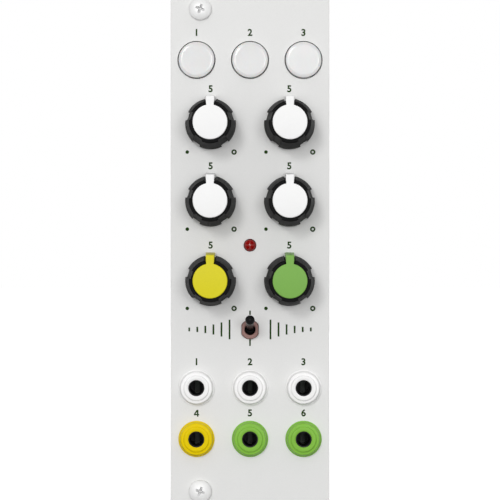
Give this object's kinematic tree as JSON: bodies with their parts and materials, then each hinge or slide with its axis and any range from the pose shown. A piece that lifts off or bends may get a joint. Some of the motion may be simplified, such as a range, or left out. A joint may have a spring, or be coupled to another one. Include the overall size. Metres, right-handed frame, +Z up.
{
  "type": "eurorack delay module",
  "caption": "Rack-mount audio delay module: pale panel with fluted pointer knobs, round push buttons, bat toggle, lamp and colour-ringed mini-jack sockets, boards behind.",
  "frame": {"origin": "midway between the two rail screws, on the panel's rear face where it seats on the rails", "axes": "+Z up the panel, +X to the right seen from the front, -Y out of the front"},
  "size_m": [0.0403, 0.0483, 0.1284],
  "materials": {
    "panel_paint": "fine matt light grey paint",
    "panel_ink": "screen-printed dark green ink",
    "nickel": "bright nickel plate",
    "board": "glossy green solder mask",
    "brass": "turned brass",
    "gold_pins": "gold flash",
    "black_plastic": "moulded matt black",
    "chip": "fine matt moulding",
    "can_metal": "drawn bright can",
    "pot_metal": "dull die casting",
    "tinned_metal": "tinned",
    "socket_plastic": "moulded black",
    "contact_metal": "spring bronze",
    "white_plastic": "satin white moulding",
    "yellow_plastic": "satin yellow moulding",
    "green_plastic": "satin green moulding",
    "knob_black": "fine matt soft black",
    "button_white": "satin translucent white",
    "stem_plastic": "natural moulding",
    "lamp_plastic": "clear cast lens",
    "red_lens": "clear red cast lens",
    "toggle_red": "dull red moulding",
    "lever_black": "moulded black"
  },
  "bodies": {
    "module": {"front_panel": "panel_paint", "rail_screws": "nickel", "control_board": "board", "main_board": "board", "board_spacers": "brass", "board_screws": "nickel", "board_sockets": "black_plastic", "board_strips": "black_plastic", "board_pins": "gold_pins", "power_header": "black_plastic", "power_pins": "gold_pins", "processor_chip": "chip", "converter_chip": "chip", "amplifier_chips": "chip", "regulators": "chip", "crystal": "can_metal", "capacitor_cans": "can_metal", "capacitor_bases": "black_plastic", "pot_bodies": "pot_metal", "pot_terminals": "tinned_metal", "pot_nuts": "nickel", "pot_washers": "nickel", "jack_bodies": "socket_plastic", "jack_contacts": "contact_metal", "white_jack_rings": "white_plastic", "yellow_jack_ring": "yellow_plastic", "green_jack_rings": "green_plastic", "button_switches": "black_plastic", "button_lamps": "lamp_plastic", "indicator_lens": "red_lens", "indicator_leads": "tinned_metal", "toggle_body": "toggle_red", "toggle_bushing": "toggle_red", "toggle_terminals": "tinned_metal"},
    "time_knob": {"time_knob_body": "knob_black", "time_pointer_cap": "white_plastic", "time_pot_shaft": "can_metal"},
    "filter_knob": {"filter_knob_body": "knob_black", "filter_pointer_cap": "white_plastic", "filter_pot_shaft": "can_metal"},
    "feedback_knob": {"feedback_knob_body": "knob_black", "feedback_pointer_cap": "white_plastic", "feedback_pot_shaft": "can_metal"},
    "fidelity_knob": {"fidelity_knob_body": "knob_black", "fidelity_pointer_cap": "white_plastic", "fidelity_pot_shaft": "can_metal"},
    "input_knob": {"input_knob_body": "knob_black", "input_pointer_cap": "yellow_plastic", "input_pot_shaft": "can_metal"},
    "mix_knob": {"mix_knob_body": "knob_black", "mix_pointer_cap": "green_plastic", "mix_pot_shaft": "can_metal"},
    "left_button": {"left_button_cap": "button_white", "left_button_stem": "stem_plastic"},
    "middle_button": {"middle_button_cap": "button_white", "middle_button_stem": "stem_plastic"},
    "right_button": {"right_button_cap": "button_white", "right_button_stem": "stem_plastic"},
    "toggle": {"toggle_lever": "lever_black"}
  },
  "joints": [
    {"name": "time_turn", "type": "hinge", "parent": "module", "child": "time_knob", "pos_m": [0.00265, 0, 0.032], "axis": [0, 1, 0], "range_deg": [-140, 140]},
    {"name": "filter_turn", "type": "hinge", "parent": "module", "child": "filter_knob", "pos_m": [0.02265, 0, 0.032], "axis": [0, 1, 0], "range_deg": [-140, 140]},
    {"name": "feedback_turn", "type": "hinge", "parent": "module", "child": "feedback_knob", "pos_m": [0.00265, 0, 0.0124], "axis": [0, 1, 0], "range_deg": [-140, 140]},
    {"name": "fidelity_turn", "type": "hinge", "parent": "module", "child": "fidelity_knob", "pos_m": [0.02265, 0, 0.0124], "axis": [0, 1, 0], "range_deg": [-140, 140]},
    {"name": "input_turn", "type": "hinge", "parent": "module", "child": "input_knob", "pos_m": [0.00265, 0, -0.00775], "axis": [0, 1, 0], "range_deg": [-140, 140]},
    {"name": "mix_turn", "type": "hinge", "parent": "module", "child": "mix_knob", "pos_m": [0.02265, 0, -0.00775], "axis": [0, 1, 0], "range_deg": [-140, 140]},
    {"name": "left_press", "type": "slide", "parent": "module", "child": "left_button", "axis": [0, 1, 0], "range_m": [0, 0.0009], "stiffness_N_per_m": 1000, "springref_m": -0.0005},
    {"name": "middle_press", "type": "slide", "parent": "module", "child": "middle_button", "axis": [0, 1, 0], "range_m": [0, 0.0009], "stiffness_N_per_m": 1000, "springref_m": -0.0005},
    {"name": "right_press", "type": "slide", "parent": "module", "child": "right_button", "axis": [0, 1, 0], "range_m": [0, 0.0009], "stiffness_N_per_m": 1000, "springref_m": -0.0005},
    {"name": "toggle_flip", "type": "hinge", "parent": "module", "child": "toggle", "pos_m": [0.01265, -0.0016, -0.0202], "axis": [1, 0, 0], "range_deg": [0, 28]}
  ]
}
